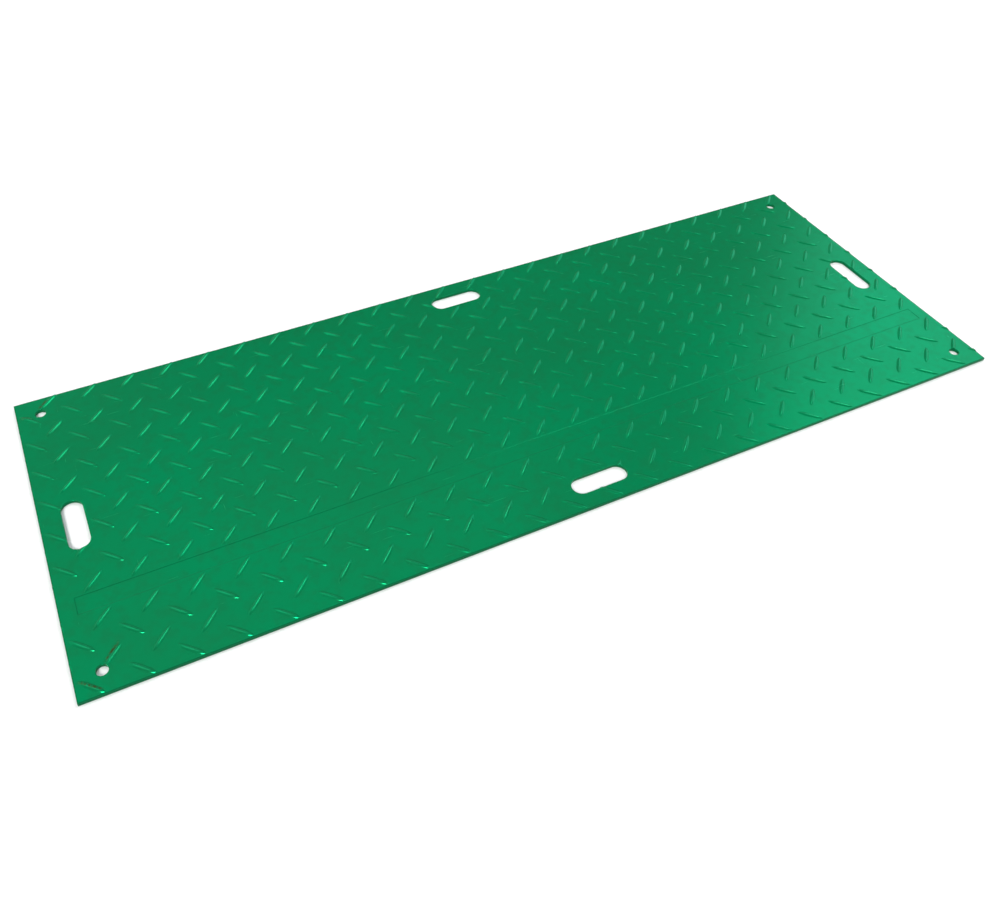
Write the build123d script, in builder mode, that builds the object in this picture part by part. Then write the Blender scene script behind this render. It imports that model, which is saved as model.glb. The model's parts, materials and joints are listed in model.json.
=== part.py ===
"""Ground protection mat: one moulded sheet with tread bars, hand slots and corner holes.

Millimetres. The origin is on the underside at the middle of the sheet: X runs along the
mat's length, Y across it from the front edge (-Y) to the back edge (+Y), and Z is up.
"""
from build123d import *
from math import ceil
import os

# Sheet
mat_length = 2430.0
mat_width = 910.0
sheet_thickness = 9.7

# Tread bar: pointed ends, a straight middle, sloped flanks and a flat crown
bar_length = 66.0
bar_width = 15.0
bar_straight = 24.0
bar_height = 3.0
bar_flank_angle = 45.0  # from the vertical
bar_angle = 45.0  # of the bar's long axis from the X axis

# Tread lattice: falling bars at its nodes, rising bars half a pitch on in both directions
tread_pitch_x = 100.4
tread_pitch_y = 101.5
first_bar_x = 31.5  # from the left end to the first falling bar's centre
first_bar_y = 26.6  # from the front edge to the first falling bar's centre

# Plain strip for marking, which takes the place of one row of falling bars
strip_row = 2
strip_width = 47.0
strip_depth = 0.5
strip_end_margin = 37.0

# Hand slots with round ends, one near the middle of each edge, each along its own edge
slot_length = 150.0
slot_width = 50.0
end_slot_inset = 75.0  # from the left or right end to the slot's centre line
side_slot_inset = 69.5  # from the front or back edge to the slot's centre line
front_slot_offset = 16.0  # of the front slot's centre, to the right of the middle

# Corner holes for ground pins or ties
hole_diameter = 26.0
hole_end_inset = 58.0  # from the left or right end to the hole's centre
hole_side_inset = 55.0  # from the front or back edge to the hole's centre

# Slope that breaks the edges of slots and holes on the tread side, and of slots on the underside
edge_break = 1.0
edge_break_angle = 45.0

# Places worked out from the sizes above
mat_left = -mat_length / 2
mat_front = -mat_width / 2
overall_thickness = sheet_thickness + bar_height
strip_length = mat_length - 2 * strip_end_margin
strip_y = mat_front + first_bar_y + strip_row * tread_pitch_y
end_slot_x = mat_length / 2 - end_slot_inset
side_slot_y = mat_width / 2 - side_slot_inset
hole_spacing_x = mat_length - 2 * hole_end_inset
hole_spacing_y = mat_width - 2 * hole_side_inset
columns = ceil((mat_length - first_bar_x) / tread_pitch_x) + 1
rows = ceil((mat_width - first_bar_y) / tread_pitch_y) + 1


def bar_places(start_x, start_y, turn, skipped_row=None):
    """Locations on the sheet's face of one direction's bars, all that may reach onto the mat."""
    reach = bar_length / 2
    places = []
    for row in range(rows):
        for column in range(columns):
            x = mat_left + start_x + column * tread_pitch_x
            y = mat_front + start_y + row * tread_pitch_y
            reaches_mat = abs(x) < mat_length / 2 + reach and abs(y) < mat_width / 2 + reach
            if reaches_mat and row != skipped_row:
                places.append(Location((x, y, sheet_thickness), (0, 0, turn)))
    return places


falling_places = bar_places(first_bar_x, first_bar_y, -bar_angle, strip_row)
rising_places = bar_places(
    first_bar_x + tread_pitch_x / 2, first_bar_y + tread_pitch_y / 2, bar_angle
)

# One tread bar, which stands on its foot
with BuildPart() as tread_bar:
    with BuildSketch():
        with BuildLine():
            Polyline(
                (-bar_length / 2, 0),
                (-bar_straight / 2, -bar_width / 2),
                (bar_straight / 2, -bar_width / 2),
                (bar_length / 2, 0),
            )
            mirror(about=Plane.XZ)
        make_face()
    extrude(amount=bar_height, taper=bar_flank_angle)

# Outlines of the hand slots, and of all slots and holes
with BuildSketch() as hand_slots:
    with Locations((front_slot_offset, -side_slot_y), (0, side_slot_y)):
        SlotOverall(slot_length, slot_width)
    with Locations((-end_slot_x, 0), (end_slot_x, 0)):
        SlotOverall(slot_length, slot_width, rotation=90)

with BuildSketch() as cutouts:
    add(hand_slots.sketch)
    with GridLocations(hole_spacing_x, hole_spacing_y, 2, 2):
        Circle(hole_diameter / 2)

# Block of the mat's outline and full thickness, with the slots and holes through it
with BuildPart() as envelope:
    with BuildSketch():
        Rectangle(mat_length, mat_width)
        add(cutouts.sketch, mode=Mode.SUBTRACT)
    extrude(amount=overall_thickness)

    # Broken edges at the sheet's upper face, also through the bars that meet a cut-out
    with BuildSketch(Plane.XY.offset(sheet_thickness - edge_break)):
        add(cutouts.sketch)
    extrude(amount=edge_break + bar_height, taper=-edge_break_angle, mode=Mode.SUBTRACT)

    # Broken edges at the underside, where hands reach through
    with BuildSketch(Plane.XY.offset(edge_break)):
        add(hand_slots.sketch)
    extrude(amount=-edge_break, taper=-edge_break_angle, mode=Mode.SUBTRACT)

with BuildPart() as ground_mat:
    # Sheet
    with BuildSketch():
        Rectangle(mat_length, mat_width)
    extrude(amount=sheet_thickness)

    # Plain strip, a shallow recess
    with BuildSketch(Plane.XY.offset(sheet_thickness)):
        with Locations((0, strip_y)):
            Rectangle(strip_length, strip_width)
    extrude(amount=-strip_depth, mode=Mode.SUBTRACT)

    # Tread bars of both directions
    with Locations(*falling_places, *rising_places):
        add(tread_bar.part)

    # Sheet and bars cut off at the outline, the slots and the holes
    add(envelope.part, mode=Mode.INTERSECT)

ground_mat.part.label = "ground_mat"
os.makedirs("parts", exist_ok=True)
export_step(ground_mat.part, "parts/ground_mat.step")
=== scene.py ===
import json
from math import cos, pi, radians, sin

import bpy
import numpy as np
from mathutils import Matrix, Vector
from mathutils.geometry import delaunay_2d_cdt


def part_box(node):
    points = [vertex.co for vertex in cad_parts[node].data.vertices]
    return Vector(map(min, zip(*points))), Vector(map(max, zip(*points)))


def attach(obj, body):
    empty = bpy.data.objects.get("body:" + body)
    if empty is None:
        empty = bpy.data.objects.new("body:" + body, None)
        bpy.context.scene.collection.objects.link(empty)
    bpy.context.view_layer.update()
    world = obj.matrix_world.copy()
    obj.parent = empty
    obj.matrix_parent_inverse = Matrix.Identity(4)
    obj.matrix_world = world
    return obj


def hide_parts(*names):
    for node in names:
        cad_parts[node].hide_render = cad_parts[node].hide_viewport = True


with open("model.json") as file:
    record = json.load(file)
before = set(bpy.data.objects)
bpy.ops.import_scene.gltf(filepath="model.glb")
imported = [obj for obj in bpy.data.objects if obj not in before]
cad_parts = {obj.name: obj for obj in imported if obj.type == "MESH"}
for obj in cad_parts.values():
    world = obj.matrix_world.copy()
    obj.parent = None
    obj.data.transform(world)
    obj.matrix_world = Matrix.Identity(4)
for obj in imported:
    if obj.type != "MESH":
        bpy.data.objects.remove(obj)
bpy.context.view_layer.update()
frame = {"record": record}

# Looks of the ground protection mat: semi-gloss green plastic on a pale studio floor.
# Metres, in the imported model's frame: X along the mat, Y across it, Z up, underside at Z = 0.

record = frame["record"]
mat_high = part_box("ground_mat")[1]
half_length = mat_high.x
half_width = mat_high.y
half_size = np.array((half_length, half_width))
front_left = -half_size

# Tread bars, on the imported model's lattice, with rounded backs
bar_height = 0.003
sheet_top = mat_high.z - bar_height
bar_length = 0.066
half_bar = bar_length / 2
bar_angle = radians(45)
pitch = np.array((0.1004, 0.1015))
first_bar = (0.0315, 0.0266)  # falling bar nearest the front left corner, from that corner
bar_foot = 0.0124  # width of the visible bar at its foot
ridge_roundness = 0.8  # 0 gives a sharp ridge
bar_taper = 4.0  # 2 gives an even curve from tip to tip, more gives straighter sides
least_reach = 0.0015  # a bar whose middle line comes less far onto the mat is left out
falling_origin = front_left + first_bar
rising_origin = falling_origin + pitch / 2

# Plain strip, which takes the place of one row of falling bars
strip_row = 2
strip_width = 0.047
strip_depth = 0.0005
strip_end_margin = 0.037
strip_side_run = 0.0014  # width of the strip's sloped border
strip_y = falling_origin[1] + strip_row * pitch[1]
strip_half = np.array((half_length - strip_end_margin, strip_width / 2))

# Hand slots and edges
slot_width = 0.050
slot_length = 0.150
slot_reach = (slot_length - slot_width) / 2  # from a slot's centre to its end arcs' centres
edge_radius = 0.0010

# How finely curves are cut into segments
slot_end_segments = 28
hole_segments = 40
bar_stations = 10  # along each bar
bar_lines = (0.0, 0.15, 0.33, 0.55, 0.8, 1.0)  # across each bar, share of the local half width
edge_rings = (0.0, 0.3, 0.62, 1.0)  # share of the edge radius

# Small distances of the calculations
slope_step = 1e-5
merge_distance = 1e-7
least_half_width = 1e-9
normal_pull = 0.02  # share of the way to the face's middle, so that a crease stays sharp

# Plastic: linear colours, and how far each covers the tone under it
TONES = ((0.0042, 0.231, 0.081), (0.0014, 0.261, 0.094))
MOTTLE_COLOUR = (0.008, 0.2, 0.07)
mottle_cover = 0.5
SCUFF_COLOUR = (0.06, 0.34, 0.18)
scuff_cover = 0.16
# Lighter bar ridges: rubbed wear, and a painted highlight along the ridges
RUBBED_HIGHLIGHT_COLOUR = (0.03, 0.34, 0.17)
rubbed_highlight_cover = 0.22
rubbed_highlight_from = 0.0016  # height above the sheet from which the bars' ridges are painted lighter: rubbed wear and a painted highlight
# Painted shade: the upright faces are darker
WALL_SHADE_COLOUR = (0.002, 0.075, 0.028)
wall_shade_cover = 0.6
# Painted shade along the mat's rounded outer edges and the strip's sloped border
BORDER_SHADE_COLOUR = (0.002, 0.095, 0.035)
outer_border_shade_cover = 0.6
outer_border_width = 0.0030
strip_border_shade_cover = 0.4
border_core = 0.4  # share of a border line's width that has its full strength
# Dark olive streaks at the two left corners, darker and rougher
STREAK_COLOUR = (0.045, 0.05, 0.01)
streak_cover = 0.85
streak_core = 0.35  # share of a dark streak that has its full strength

# Plastic: scale per metre and detail of each noise
clouds_noise = (2.6, 3)
mottle_noise = (45, 4)
grain_noise = (420, 2)
scuff_noise = (9, 5)
speck_noise = (160, 4)

# Plastic: range over which each layer comes in
clouds_range = (0.3, 0.7)
mottle_range = (0.42, 0.7)
grain_range = (0.35, 0.6)
speck_range = (0.36, 0.56)
upright_range = (0.5, 0.1)  # of the size of a face normal's Z

# Scuffs along the mat and across it: how the noise is squeezed, and its range
SCUFFS = (
    ((1.2, 34, 1), (0.66, 0.76)),
    ((30, 1.5, 1), (0.68, 0.78)),
)

# Dark olive streaks: centre from the front left corner, turn, length, width, strength
DARK_STREAKS = (
    ((0.0840, 0.0895), radians(45), 0.062, 0.0085, 1.0),
    ((0.0315, 0.0285), radians(-41), 0.070, 0.0085, 1.0),
    ((0.0690, 0.8865), radians(45), 0.056, 0.0080, 1.0),
    ((0.0240, 0.8500), radians(-20), 0.040, 0.0150, 0.45),
)

# Plastic: shine and fine relief
clean_roughness = 0.145
mottle_roughness = 0.1
scuff_roughness = 0.12
streak_roughness = 0.35
metallic = 0.40
specular_level = 0.15
SPECULAR_TINT = (0.0, 1.0, 0.65, 1)
grain_share = 0.16
bump_strength = 0.5
bump_depth = 0.0003

# Floor
floor_size = 40
floor_level = -0.0005
FLOOR_COLOURS = ((0.885, 0.885, 0.885), (0.91, 0.91, 0.91))
floor_shade_noise = (3, 4)
floor_shade_range = (0.3, 0.7)
floor_grain_noise = (60, 3)
floor_roughness = 0.85
floor_grain_roughness = 0.1

# Surround, in degrees: azimuths from +X towards +Y, elevations, softness of the edges
WINDOW = (
    ((18, 42.8), (2, 45), 6),
    ((8, 24), (2, 32), 6),
    ((-25, 14), (2, 22), 6),
)
window_radiance = 1.5
window_tint = (0.72, 1.0, 1.25)

# Panels of the surround: the same, and the radiance
PANELS = (
    ((0, 32), (50, 74), 6, 7.5),  # lines on the rising bars at the left
    ((8, 36), (41, 56), 5, 7.5),  # lines on the rising bars at the middle
    ((-40, 12), (34, 64), 6, 0.5),  # right flanks of the rising bars
    ((50, 200), (1, 29), 6, 0.4),  # far flanks of all bars
    ((84, 200), (2, 46), 12, 0.5),  # left flanks of the rising bars
    ((44, 200), (39, 78), 14, 0.5),  # sheet at the front and the left
    ((125, 190), (48, 74), 6, 1.6),  # lines on the falling bars at the left
)
surround_radiance = 0.2
surround_tint = (1.0, 1.0, 1.0)

# Key light, in degrees
key_azimuth = 232
key_elevation = 42
key_softness = 18
key_strength = 2.6

# Camera at the photograph's angle
camera_place = (-0.9305, -1.5335, 1.6664)
camera_turn = (42.795, -0.973, -25.726)  # degrees
camera_lens = 32.99
camera_sensor = 36
camera_shift = 0.0362


def mount_holes():
    """Centre and radius of each corner hole, from the record's bolt pattern."""
    mount = next(m for m in record["mounts"] if m["name"] == "corner_holes")
    dims = mount["dims"]
    half_x = dims["spacing_x_mm"] / 2000
    half_y = dims["spacing_y_mm"] / 2000
    radius = dims["hole_r_mm"] / 1000
    return [((sx * half_x, sy * half_y), radius) for sx in (-1, 1) for sy in (-1, 1)]


def hand_slots():
    """Centre of each hand slot and whether it lies along X, from the record's openings."""
    slots = []
    for opening in record["physics"]["openings"]:
        low, high = (np.array(corner[:2]) for corner in opening["box_m"])
        size = high - low
        slots.append(((low + high) / 2, size[0] > size[1]))
    return slots


HOLES = mount_holes()
SLOTS = hand_slots()


def wall_distance(points):
    """Distance of each point from the nearest wall: positive in the plastic, negative outside."""
    x, y = points[:, 0], points[:, 1]
    distance = np.minimum(half_length - np.abs(x), half_width - np.abs(y))
    for (cx, cy), radius in HOLES:
        distance = np.minimum(distance, np.hypot(x - cx, y - cy) - radius)
    for (cx, cy), along_x in SLOTS:
        along = np.abs(x - cx if along_x else y - cy)
        across = y - cy if along_x else x - cx
        beyond = np.maximum(along - slot_reach, 0)
        distance = np.minimum(distance, np.hypot(beyond, across) - slot_width / 2)
    return distance


def bar_half_width(u):
    """Half width of a bar at a distance u from its middle."""
    return bar_foot / 2 * (1 - np.minimum(np.abs(u) / half_bar, 1) ** bar_taper)


def bar_line(centre, turn, share):
    """Line from tip to tip of a bar, at a share of its half width to one side."""
    u = half_bar * np.sin(np.linspace(-pi / 2, pi / 2, bar_stations + 1))
    v = bar_half_width(u) * share
    return np.column_stack((u * np.cos(turn) - v * np.sin(turn),
                            u * np.sin(turn) + v * np.cos(turn))) + centre


def bars_there(origin, turn, skipped_row=None):
    """Which cells of a lattice hold a bar; the first is the cell before the corner's."""
    count = np.ceil(2 * half_size / pitch).astype(int) + 2
    there = np.zeros(count, bool)
    for cell in np.ndindex(*count):
        centre = origin + pitch * (np.array(cell) - 1)
        reach = wall_distance(bar_line(centre, turn, 0)).max()
        there[cell] = reach > least_reach and cell[1] - 1 != skipped_row
    return there


# Both directions of bars: place of the lattice, turn, and the cells with a bar
BARS = (
    (falling_origin, -bar_angle, bars_there(falling_origin, -bar_angle, strip_row)),
    (rising_origin, bar_angle, bars_there(rising_origin, bar_angle)),
)


def bar_relief(points, origin, turn, there):
    """Height that one direction's bars add: a round back that falls to nothing at the tips."""
    cell = np.round((points - origin) / pitch).astype(int)
    local = points - origin - cell * pitch
    u = local[:, 0] * np.cos(turn) + local[:, 1] * np.sin(turn)
    v = local[:, 1] * np.cos(turn) - local[:, 0] * np.sin(turn)
    half = bar_half_width(u)
    across = np.minimum(np.abs(v) / np.maximum(half, least_half_width), 1)
    ridge = bar_height * (2 * half / bar_foot)
    full_drop = np.hypot(1, ridge_roundness) - ridge_roundness
    height = ridge * (1 - (np.hypot(across, ridge_roundness) - ridge_roundness) / full_drop)
    place = np.clip(cell + 1, 0, np.array(there.shape) - 1)
    return np.where(there[place[:, 0], place[:, 1]], height, 0)


def surface_height(points):
    """Height of the tread side at each point."""
    height = sheet_top + sum(bar_relief(points, *bars) for bars in BARS)
    from_border = np.minimum(strip_half[0] - np.abs(points[:, 0]),
                             strip_half[1] - np.abs(points[:, 1] - strip_y))
    height = height - strip_depth * np.clip(from_border / strip_side_run, 0, 1)
    gap = np.clip(edge_radius - wall_distance(points), 0, edge_radius)
    return height - edge_radius + np.sqrt(edge_radius ** 2 - gap ** 2)


def slopes(points, value_of):
    """Slope of a value along X and along Y at each point, from central differences."""
    found = np.zeros((len(points), 2))
    for axis in (0, 1):
        shift = np.zeros(2)
        shift[axis] = slope_step
        change = value_of(points + shift) - value_of(points - shift)
        found[:, axis] = change / (2 * slope_step)
    return found


def surface_normals(points):
    """Unit normals of the tread side."""
    normals = np.ones((len(points), 3))
    normals[:, :2] = -slopes(points, surface_height)
    return normals / np.linalg.norm(normals, axis=1)[:, None]


def stadium(centre, along_x, grow):
    """Closed outline of a hand slot, moved outwards by grow."""
    angles = np.linspace(-pi / 2, pi / 2, slot_end_segments + 1)
    radius = slot_width / 2 + grow
    right = np.column_stack((slot_reach + radius * np.cos(angles), radius * np.sin(angles)))
    outline = np.concatenate((right, -right))
    if not along_x:
        outline = outline[:, ::-1] * (1, -1)
    return outline + centre


def circle(centre, radius):
    """Closed outline of a corner hole."""
    angles = np.linspace(0, 2 * pi, hole_segments, endpoint=False)
    return np.column_stack((np.cos(angles), np.sin(angles))) * radius + centre


def rectangle(half_x, half_y, centre=(0, 0)):
    """Closed outline of a rectangle."""
    return np.array(((-1, -1), (1, -1), (1, 1), (-1, 1))) * (half_x, half_y) + np.array(centre)


def rim_loops(inset):
    """Outlines of the sheet, the slots and the holes, moved into the plastic by inset."""
    loops = [rectangle(half_length - inset, half_width - inset)]
    loops += [stadium(centre, along_x, inset) for centre, along_x in SLOTS]
    loops += [circle(centre, radius + inset) for centre, radius in HOLES]
    return loops


def all_bar_lines():
    """Lines along every bar that reaches onto the mat, from one foot over the ridge."""
    shares = [share * side for share in bar_lines for side in (-1, 1)][1:]
    lines = []
    for origin, turn, there in BARS:
        for cell in np.argwhere(there):
            centre = origin + pitch * (np.array(cell) - 1)
            lines += [bar_line(centre, turn, share) for share in shares]
    return lines


def triangulate(closed, open_lines):
    """Triangles over the points of all lines, with every line kept as edges."""
    points, edges = [], []
    for line, is_closed in [(c, True) for c in closed] + [(o, False) for o in open_lines]:
        start = len(points)
        count = len(line)
        points.extend(Vector(p) for p in line)
        edges.extend((start + i, start + i + 1) for i in range(count - 1))
        if is_closed:
            edges.append((start + count - 1, start))
    found = delaunay_2d_cdt(points, edges, [], 0, merge_distance, False)
    corners = np.array([tuple(p) for p in found[0]])
    faces = np.array([f for f in found[2] if len(f) == 3])
    centres = corners[faces].mean(axis=1)
    return corners, faces[wall_distance(centres) > 0]


def tread_side():
    """Points and triangles of the tread side, seen from above."""
    closed = [loop for share in edge_rings for loop in rim_loops(share * edge_radius)]
    for grow in (0, -strip_side_run):
        closed.append(rectangle(strip_half[0] + grow, strip_half[1] + grow, (0, strip_y)))
    points, faces = triangulate(closed, all_bar_lines())
    used, faces = np.unique(faces, return_inverse=True)
    return points[used], faces.reshape(-1, 3)


def rim_of(faces):
    """Directed edges that no second triangle shares."""
    pairs = np.concatenate([faces[:, (i, (i + 1) % 3)] for i in range(3)])
    known = set(map(tuple, pairs))
    return np.array([(a, b) for a, b in known if (b, a) not in known])


def underside(points, edges):
    """Triangles between the underside's rim points, within their edges."""
    found = delaunay_2d_cdt([Vector(p) for p in points], edges, [], 0, merge_distance, True)
    source = np.array([found[3][i][0] for i in range(len(found[0]))])
    faces = np.array([f for f in found[2] if len(f) == 3])
    centres = np.array([tuple(p) for p in found[0]])[faces].mean(axis=1)
    return source[faces[wall_distance(centres) > edge_radius / 2]]


def mat_mesh():
    """The whole mat as one closed mesh, and the number of faces of its tread side."""
    top, top_faces = tread_side()
    rim = rim_of(top_faces)
    rim_points = np.unique(rim)
    place = {point: i for i, point in enumerate(rim_points)}

    # The underside's rim lies further in than the walls, for the lower edge's small slope
    below = top[rim_points] + slopes(top[rim_points], wall_distance) * edge_radius
    low_faces = underside(below, [(place[a], place[b]) for a, b in rim])

    count, rims = len(top), len(rim_points)
    vertices = np.concatenate((
        np.column_stack((top, surface_height(top))),
        np.column_stack((top[rim_points], np.full(rims, edge_radius))),
        np.column_stack((below, np.zeros(rims))),
    ))
    faces = [tuple(f) for f in top_faces]
    for a, b in rim:
        wall_a, wall_b = count + place[a], count + place[b]
        faces.append((b, a, wall_a, wall_b))
        faces.append((wall_b, wall_a, wall_a + rims, wall_b + rims))
    faces += [tuple(f[::-1] + count + rims) for f in low_faces]

    mesh = bpy.data.meshes.new("mat_sheet")
    mesh.from_pydata(vertices.tolist(), [], [tuple(int(i) for i in f) for f in faces])
    mesh.validate()
    mesh.update()
    return mesh, len(top_faces)


def read_rows(items, name, width, kind):
    """Values of one attribute of a mesh's corners, faces or vertices, one row each."""
    values = np.zeros(len(items) * width, kind)
    items.foreach_get(name, values)
    return values.reshape(-1, width)


def set_normals(mesh, top_count):
    """Exact normals on the tread side, flat ones on the walls and the underside."""
    corner = read_rows(mesh.loops, "vertex_index", 1, int)[:, 0]
    sizes = read_rows(mesh.polygons, "loop_total", 1, int)[:, 0]
    face_of = np.repeat(np.arange(len(sizes)), sizes)
    centre = read_rows(mesh.polygons, "center", 3, float)[face_of]
    place = read_rows(mesh.vertices, "co", 3, float)[corner]
    place = place + (centre - place) * normal_pull
    normals = read_rows(mesh.polygons, "normal", 3, float)[face_of].copy()
    top = face_of < top_count
    normals[top] = surface_normals(place[top][:, :2])
    mesh.normals_split_custom_set(normals.tolist())


def node(tree, kind, *links, **values):
    """Adds a node, sets its properties, and links or sets its inputs in order."""
    made = tree.nodes.new(kind)
    for name, value in values.items():
        setattr(made, name, value)
    for socket, value in zip(made.inputs, links):
        if hasattr(value, "is_output"):
            tree.links.new(value, socket)
        else:
            socket.default_value = value
    return made


def calculate(tree, operation, *values):
    """Result of one sum on numbers or sockets."""
    return node(tree, "ShaderNodeMath", *values, operation=operation).outputs[0]


def times(tree, first, second):
    return calculate(tree, "MULTIPLY", first, second)


def plus(tree, first, second):
    return calculate(tree, "ADD", first, second)


def component(tree, vector, axis):
    """X, Y or Z of a vector socket."""
    return node(tree, "ShaderNodeSeparateXYZ", vector).outputs[axis]


def ramp_between(tree, value, start, end):
    """0 before start, 1 after end, smooth between; start may be the larger."""
    made = node(tree, "ShaderNodeMapRange", value, start, end, 0.0, 1.0,
                interpolation_type="SMOOTHSTEP")
    return made.outputs[0]


def noise(tree, place, scale, detail, squeeze=None):
    """Smooth noise, about 0.3 to 0.7, at a scale per metre, squeezed along each axis."""
    if squeeze is not None:
        squeezed = node(tree, "ShaderNodeVectorMath", place, squeeze, operation="MULTIPLY")
        place = squeezed.outputs[0]
    made = node(tree, "ShaderNodeTexNoise", place)
    made.inputs["Scale"].default_value = scale
    made.inputs["Detail"].default_value = detail
    return made.outputs[0]


def mix_colour(tree, share, first, second):
    """First colour at share 0, second at share 1; a colour is a socket or three numbers."""
    made = tree.nodes.new("ShaderNodeMix")
    made.data_type = "RGBA"
    ends = [socket for socket in made.inputs if socket.type == "RGBA"]
    for socket, colour in zip(ends, (first, second)):
        if isinstance(colour, tuple):
            socket.default_value = (*colour, 1)
        else:
            tree.links.new(colour, socket)
    tree.links.new(share, made.inputs[0])
    return next(socket for socket in made.outputs if socket.type == "RGBA")


def scuff_mask(tree, place):
    """Fine scuffs along the mat and across it."""
    mask = 0.0
    for squeeze, (start, end) in SCUFFS:
        scuffs = noise(tree, place, *scuff_noise, squeeze)
        mask = plus(tree, mask, ramp_between(tree, scuffs, start, end))
    return mask


def rubbed_highlight_mask(tree, place, grain):
    """Ridges of the bars, painted lighter as rubbed wear and as a painted highlight, broken up by
    the grain.
    """
    rise = component(tree, place, "Z")
    mask = ramp_between(tree, rise, sheet_top + rubbed_highlight_from, sheet_top + bar_height)
    return times(tree, mask, ramp_between(tree, grain, *grain_range))


def wall_shade_mask(tree):
    """Painted shade on the upright faces: the mat's sides and the walls of slots and holes."""
    facing = node(tree, "ShaderNodeNewGeometry").outputs["True Normal"]
    upright = calculate(tree, "ABSOLUTE", component(tree, facing, "Z"))
    return ramp_between(tree, upright, *upright_range)


def line_mask(tree, x, y, half_sides, inset, width):
    """Line along a rectangle's border, moved inwards by inset."""
    distance = []
    for value, half in zip((x, y), half_sides):
        value = calculate(tree, "ABSOLUTE", value)
        distance.append(calculate(tree, "SUBTRACT", half - inset, value))
    nearest = calculate(tree, "ABSOLUTE", calculate(tree, "MINIMUM", *distance))
    return ramp_between(tree, nearest, width, width * border_core)


def border_shade_mask(tree, place):
    """Painted shade in lines along the mat's rounded outer edges and along the strip's sloped
    border.
    """
    x, y = (component(tree, place, axis) for axis in "XY")
    outer = line_mask(tree, x, y, half_size, 0.0, outer_border_width)
    from_strip = plus(tree, y, -strip_y)
    strip = line_mask(tree, x, from_strip, strip_half, strip_side_run / 2, strip_side_run)
    outer = times(tree, outer, outer_border_shade_cover)
    return plus(tree, outer, times(tree, strip, strip_border_shade_cover))


def dark_streak(tree, place, centre, turn, length, width, strength):
    """Soft-edged streak on the mat, centre measured from the front left corner."""
    middle = (front_left[0] + centre[0], front_left[1] + centre[1], 0)
    offset = node(tree, "ShaderNodeVectorMath", place, middle, operation="SUBTRACT").outputs[0]
    along = (cos(turn), sin(turn), 0)
    across = (-sin(turn), cos(turn), 0)
    mask = strength
    for axis, reach in ((along, length / 2), (across, width / 2)):
        dot = node(tree, "ShaderNodeVectorMath", offset, axis, operation="DOT_PRODUCT")
        distance = calculate(tree, "ABSOLUTE", dot.outputs["Value"])
        mask = times(tree, ramp_between(tree, distance, reach, reach * streak_core), mask)
    return mask


def streak_mask(tree, place):
    """Dark olive streaks beside the bars next to the left corner holes, broken into specks."""
    mask = 0.0
    for streak in DARK_STREAKS:
        mask = plus(tree, dark_streak(tree, place, *streak), mask)
    specks = ramp_between(tree, noise(tree, place, *speck_noise), *speck_range)
    return calculate(tree, "MINIMUM", times(tree, mask, specks), 1.0)


def mat_plastic():
    """Moulded polyethylene: clouds of tone, moulding texture, scuffs, dark streaks at two
    corners, a painted highlight on the bars' ridges, and painted shade on the walls and along the
    edges.
    """
    material = bpy.data.materials.new("moulded_polyethylene")
    material.use_nodes = True
    tree = material.node_tree
    shader = tree.nodes["Principled BSDF"]
    place = node(tree, "ShaderNodeTexCoord").outputs["Object"]
    clouds = noise(tree, place, *clouds_noise)
    mottle = noise(tree, place, *mottle_noise)
    grain = noise(tree, place, *grain_noise)
    scuffs = scuff_mask(tree, place)
    streak_share = streak_mask(tree, place)

    colour = mix_colour(tree, ramp_between(tree, clouds, *clouds_range), *TONES)
    layers = (
        (times(tree, ramp_between(tree, mottle, *mottle_range), mottle_cover), MOTTLE_COLOUR),
        (times(tree, scuffs, scuff_cover), SCUFF_COLOUR),
        # Rubbed wear and a painted highlight on the bars' ridges
        (times(tree, rubbed_highlight_mask(tree, place, grain), rubbed_highlight_cover), RUBBED_HIGHLIGHT_COLOUR),
        # Painted shade on the upright faces
        (times(tree, wall_shade_mask(tree), wall_shade_cover), WALL_SHADE_COLOUR),
        # Painted shade along the outer edges and the strip's border
        (border_shade_mask(tree, place), BORDER_SHADE_COLOUR),
        (times(tree, streak_share, streak_cover), STREAK_COLOUR),
    )
    for share, layer in layers:
        colour = mix_colour(tree, share, colour, layer)
    tree.links.new(colour, shader.inputs["Base Color"])

    rough = plus(tree, times(tree, mottle, mottle_roughness), clean_roughness)
    rough = plus(tree, rough, times(tree, scuffs, scuff_roughness))
    rough = plus(tree, rough, times(tree, streak_share, streak_roughness))
    tree.links.new(rough, shader.inputs["Roughness"])

    relief = plus(tree, mottle, times(tree, grain, grain_share))
    bump = tree.nodes.new("ShaderNodeBump")
    bump.inputs["Strength"].default_value = bump_strength
    bump.inputs["Distance"].default_value = bump_depth
    tree.links.new(relief, bump.inputs["Height"])
    tree.links.new(bump.outputs["Normal"], shader.inputs["Normal"])
    shader.inputs["Metallic"].default_value = metallic
    shader.inputs["Specular IOR Level"].default_value = specular_level
    shader.inputs["Specular Tint"].default_value = SPECULAR_TINT
    return material


def pale_floor():
    """Plain floor under the mat."""
    bpy.ops.mesh.primitive_plane_add(size=floor_size, location=(0, 0, floor_level))
    floor = bpy.context.object
    floor.name = "studio_floor"
    material = bpy.data.materials.new("pale_floor")
    material.use_nodes = True
    tree = material.node_tree
    shader = tree.nodes["Principled BSDF"]
    place = node(tree, "ShaderNodeTexCoord").outputs["Object"]
    shade = ramp_between(tree, noise(tree, place, *floor_shade_noise), *floor_shade_range)
    tree.links.new(mix_colour(tree, shade, *FLOOR_COLOURS), shader.inputs["Base Color"])
    grain = times(tree, noise(tree, place, *floor_grain_noise), floor_grain_roughness)
    tree.links.new(plus(tree, grain, floor_roughness), shader.inputs["Roughness"])
    floor.data.materials.append(material)


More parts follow.
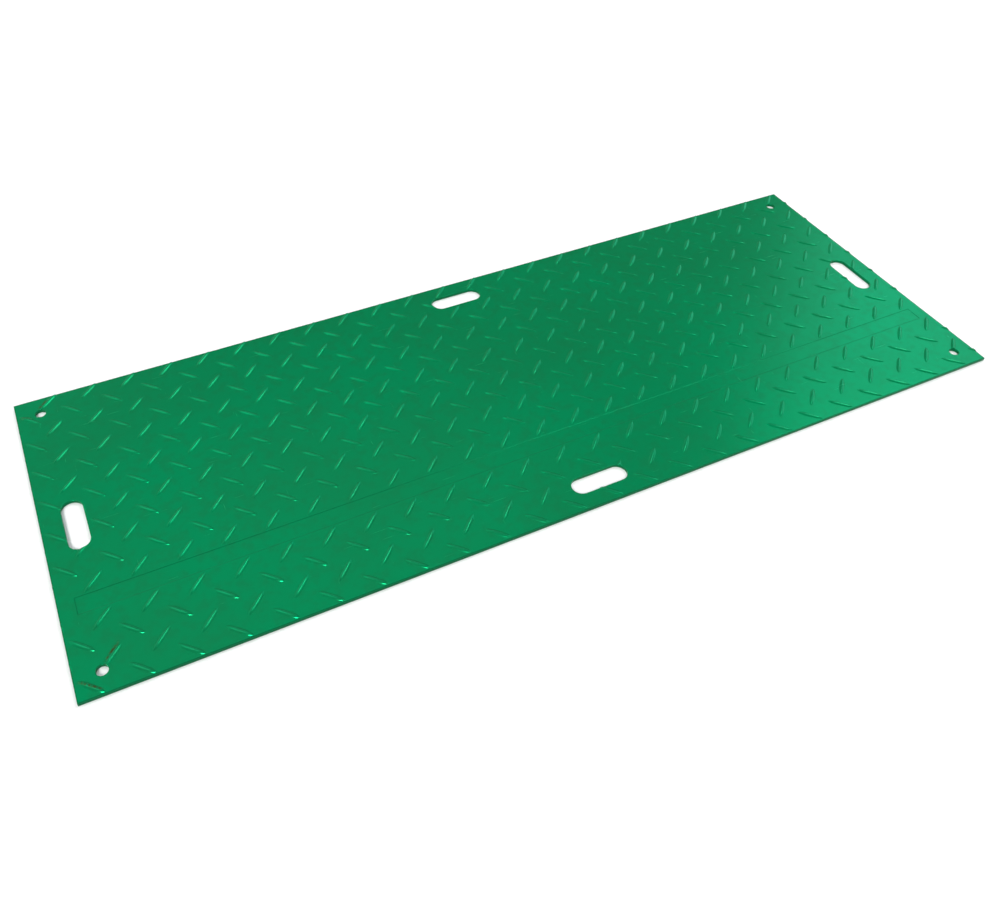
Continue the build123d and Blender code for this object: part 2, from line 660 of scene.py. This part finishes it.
def bright_patch(tree, azimuth, height, turns, rises, softness, radiance):
    """Radiance of a soft-edged patch between two azimuths and two elevations, in degrees."""
    mask = ramp_between(tree, azimuth, radians(turns[0]), radians(turns[0] + softness))
    far_side = ramp_between(tree, azimuth, radians(turns[1]), radians(turns[1] - softness))
    mask = times(tree, mask, far_side)
    for edge, inner in ((rises[0], rises[0] + softness), (rises[1], rises[1] - softness)):
        side = ramp_between(tree, height, sin(radians(edge)), sin(radians(inner)))
        mask = times(tree, mask, side)
    return times(tree, mask, radiance)


def surround():
    """Dim even surround with a cool window at the right and soft white panels."""
    world = bpy.data.worlds.new("studio")
    world.use_nodes = True
    tree = world.node_tree
    direction = node(tree, "ShaderNodeTexCoord").outputs["Generated"]
    x, y, height = (component(tree, direction, axis) for axis in "XYZ")
    azimuth = calculate(tree, "ARCTAN2", y, x)
    window = 0.0
    for part in WINDOW:
        window = plus(tree, window, bright_patch(tree, azimuth, height, *part, 1.0))
    light = times(tree, window, window_radiance)
    for panel in PANELS:
        light = plus(tree, light, bright_patch(tree, azimuth, height, *panel))
    light = plus(tree, light, surround_radiance)
    background = tree.nodes["Background"]
    colour = mix_colour(tree, window, surround_tint, window_tint)
    tree.links.new(colour, background.inputs["Color"])
    tree.links.new(light, background.inputs["Strength"])
    bpy.context.scene.world = world


def key_light():
    """Soft light from the front left, the same over the whole floor."""
    data = bpy.data.lights.new("key", "SUN")
    data.energy = key_strength
    data.angle = radians(key_softness)
    light = bpy.data.objects.new("key", data)
    bpy.context.scene.collection.objects.link(light)
    light.rotation_euler = (radians(90 - key_elevation), 0, radians(key_azimuth + 90))


def photo_camera():
    """Camera at the photograph's angle."""
    data = bpy.data.cameras.new("photo_camera")
    data.lens = camera_lens
    data.sensor_width = camera_sensor
    data.shift_x = camera_shift
    camera = bpy.data.objects.new("photo_camera", data)
    bpy.context.scene.collection.objects.link(camera)
    camera.location = camera_place
    camera.rotation_euler = tuple(radians(angle) for angle in camera_turn)
    bpy.context.scene.camera = camera


piece_mesh, top_count = mat_mesh()
set_normals(piece_mesh, top_count)
piece = bpy.data.objects.new("mat_sheet", piece_mesh)
bpy.context.scene.collection.objects.link(piece)
piece_mesh.materials.append(mat_plastic())
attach(piece, "root")
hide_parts("ground_mat")

pale_floor()
surround()
key_light()
photo_camera()
bpy.context.scene.view_settings.view_transform = "Standard"
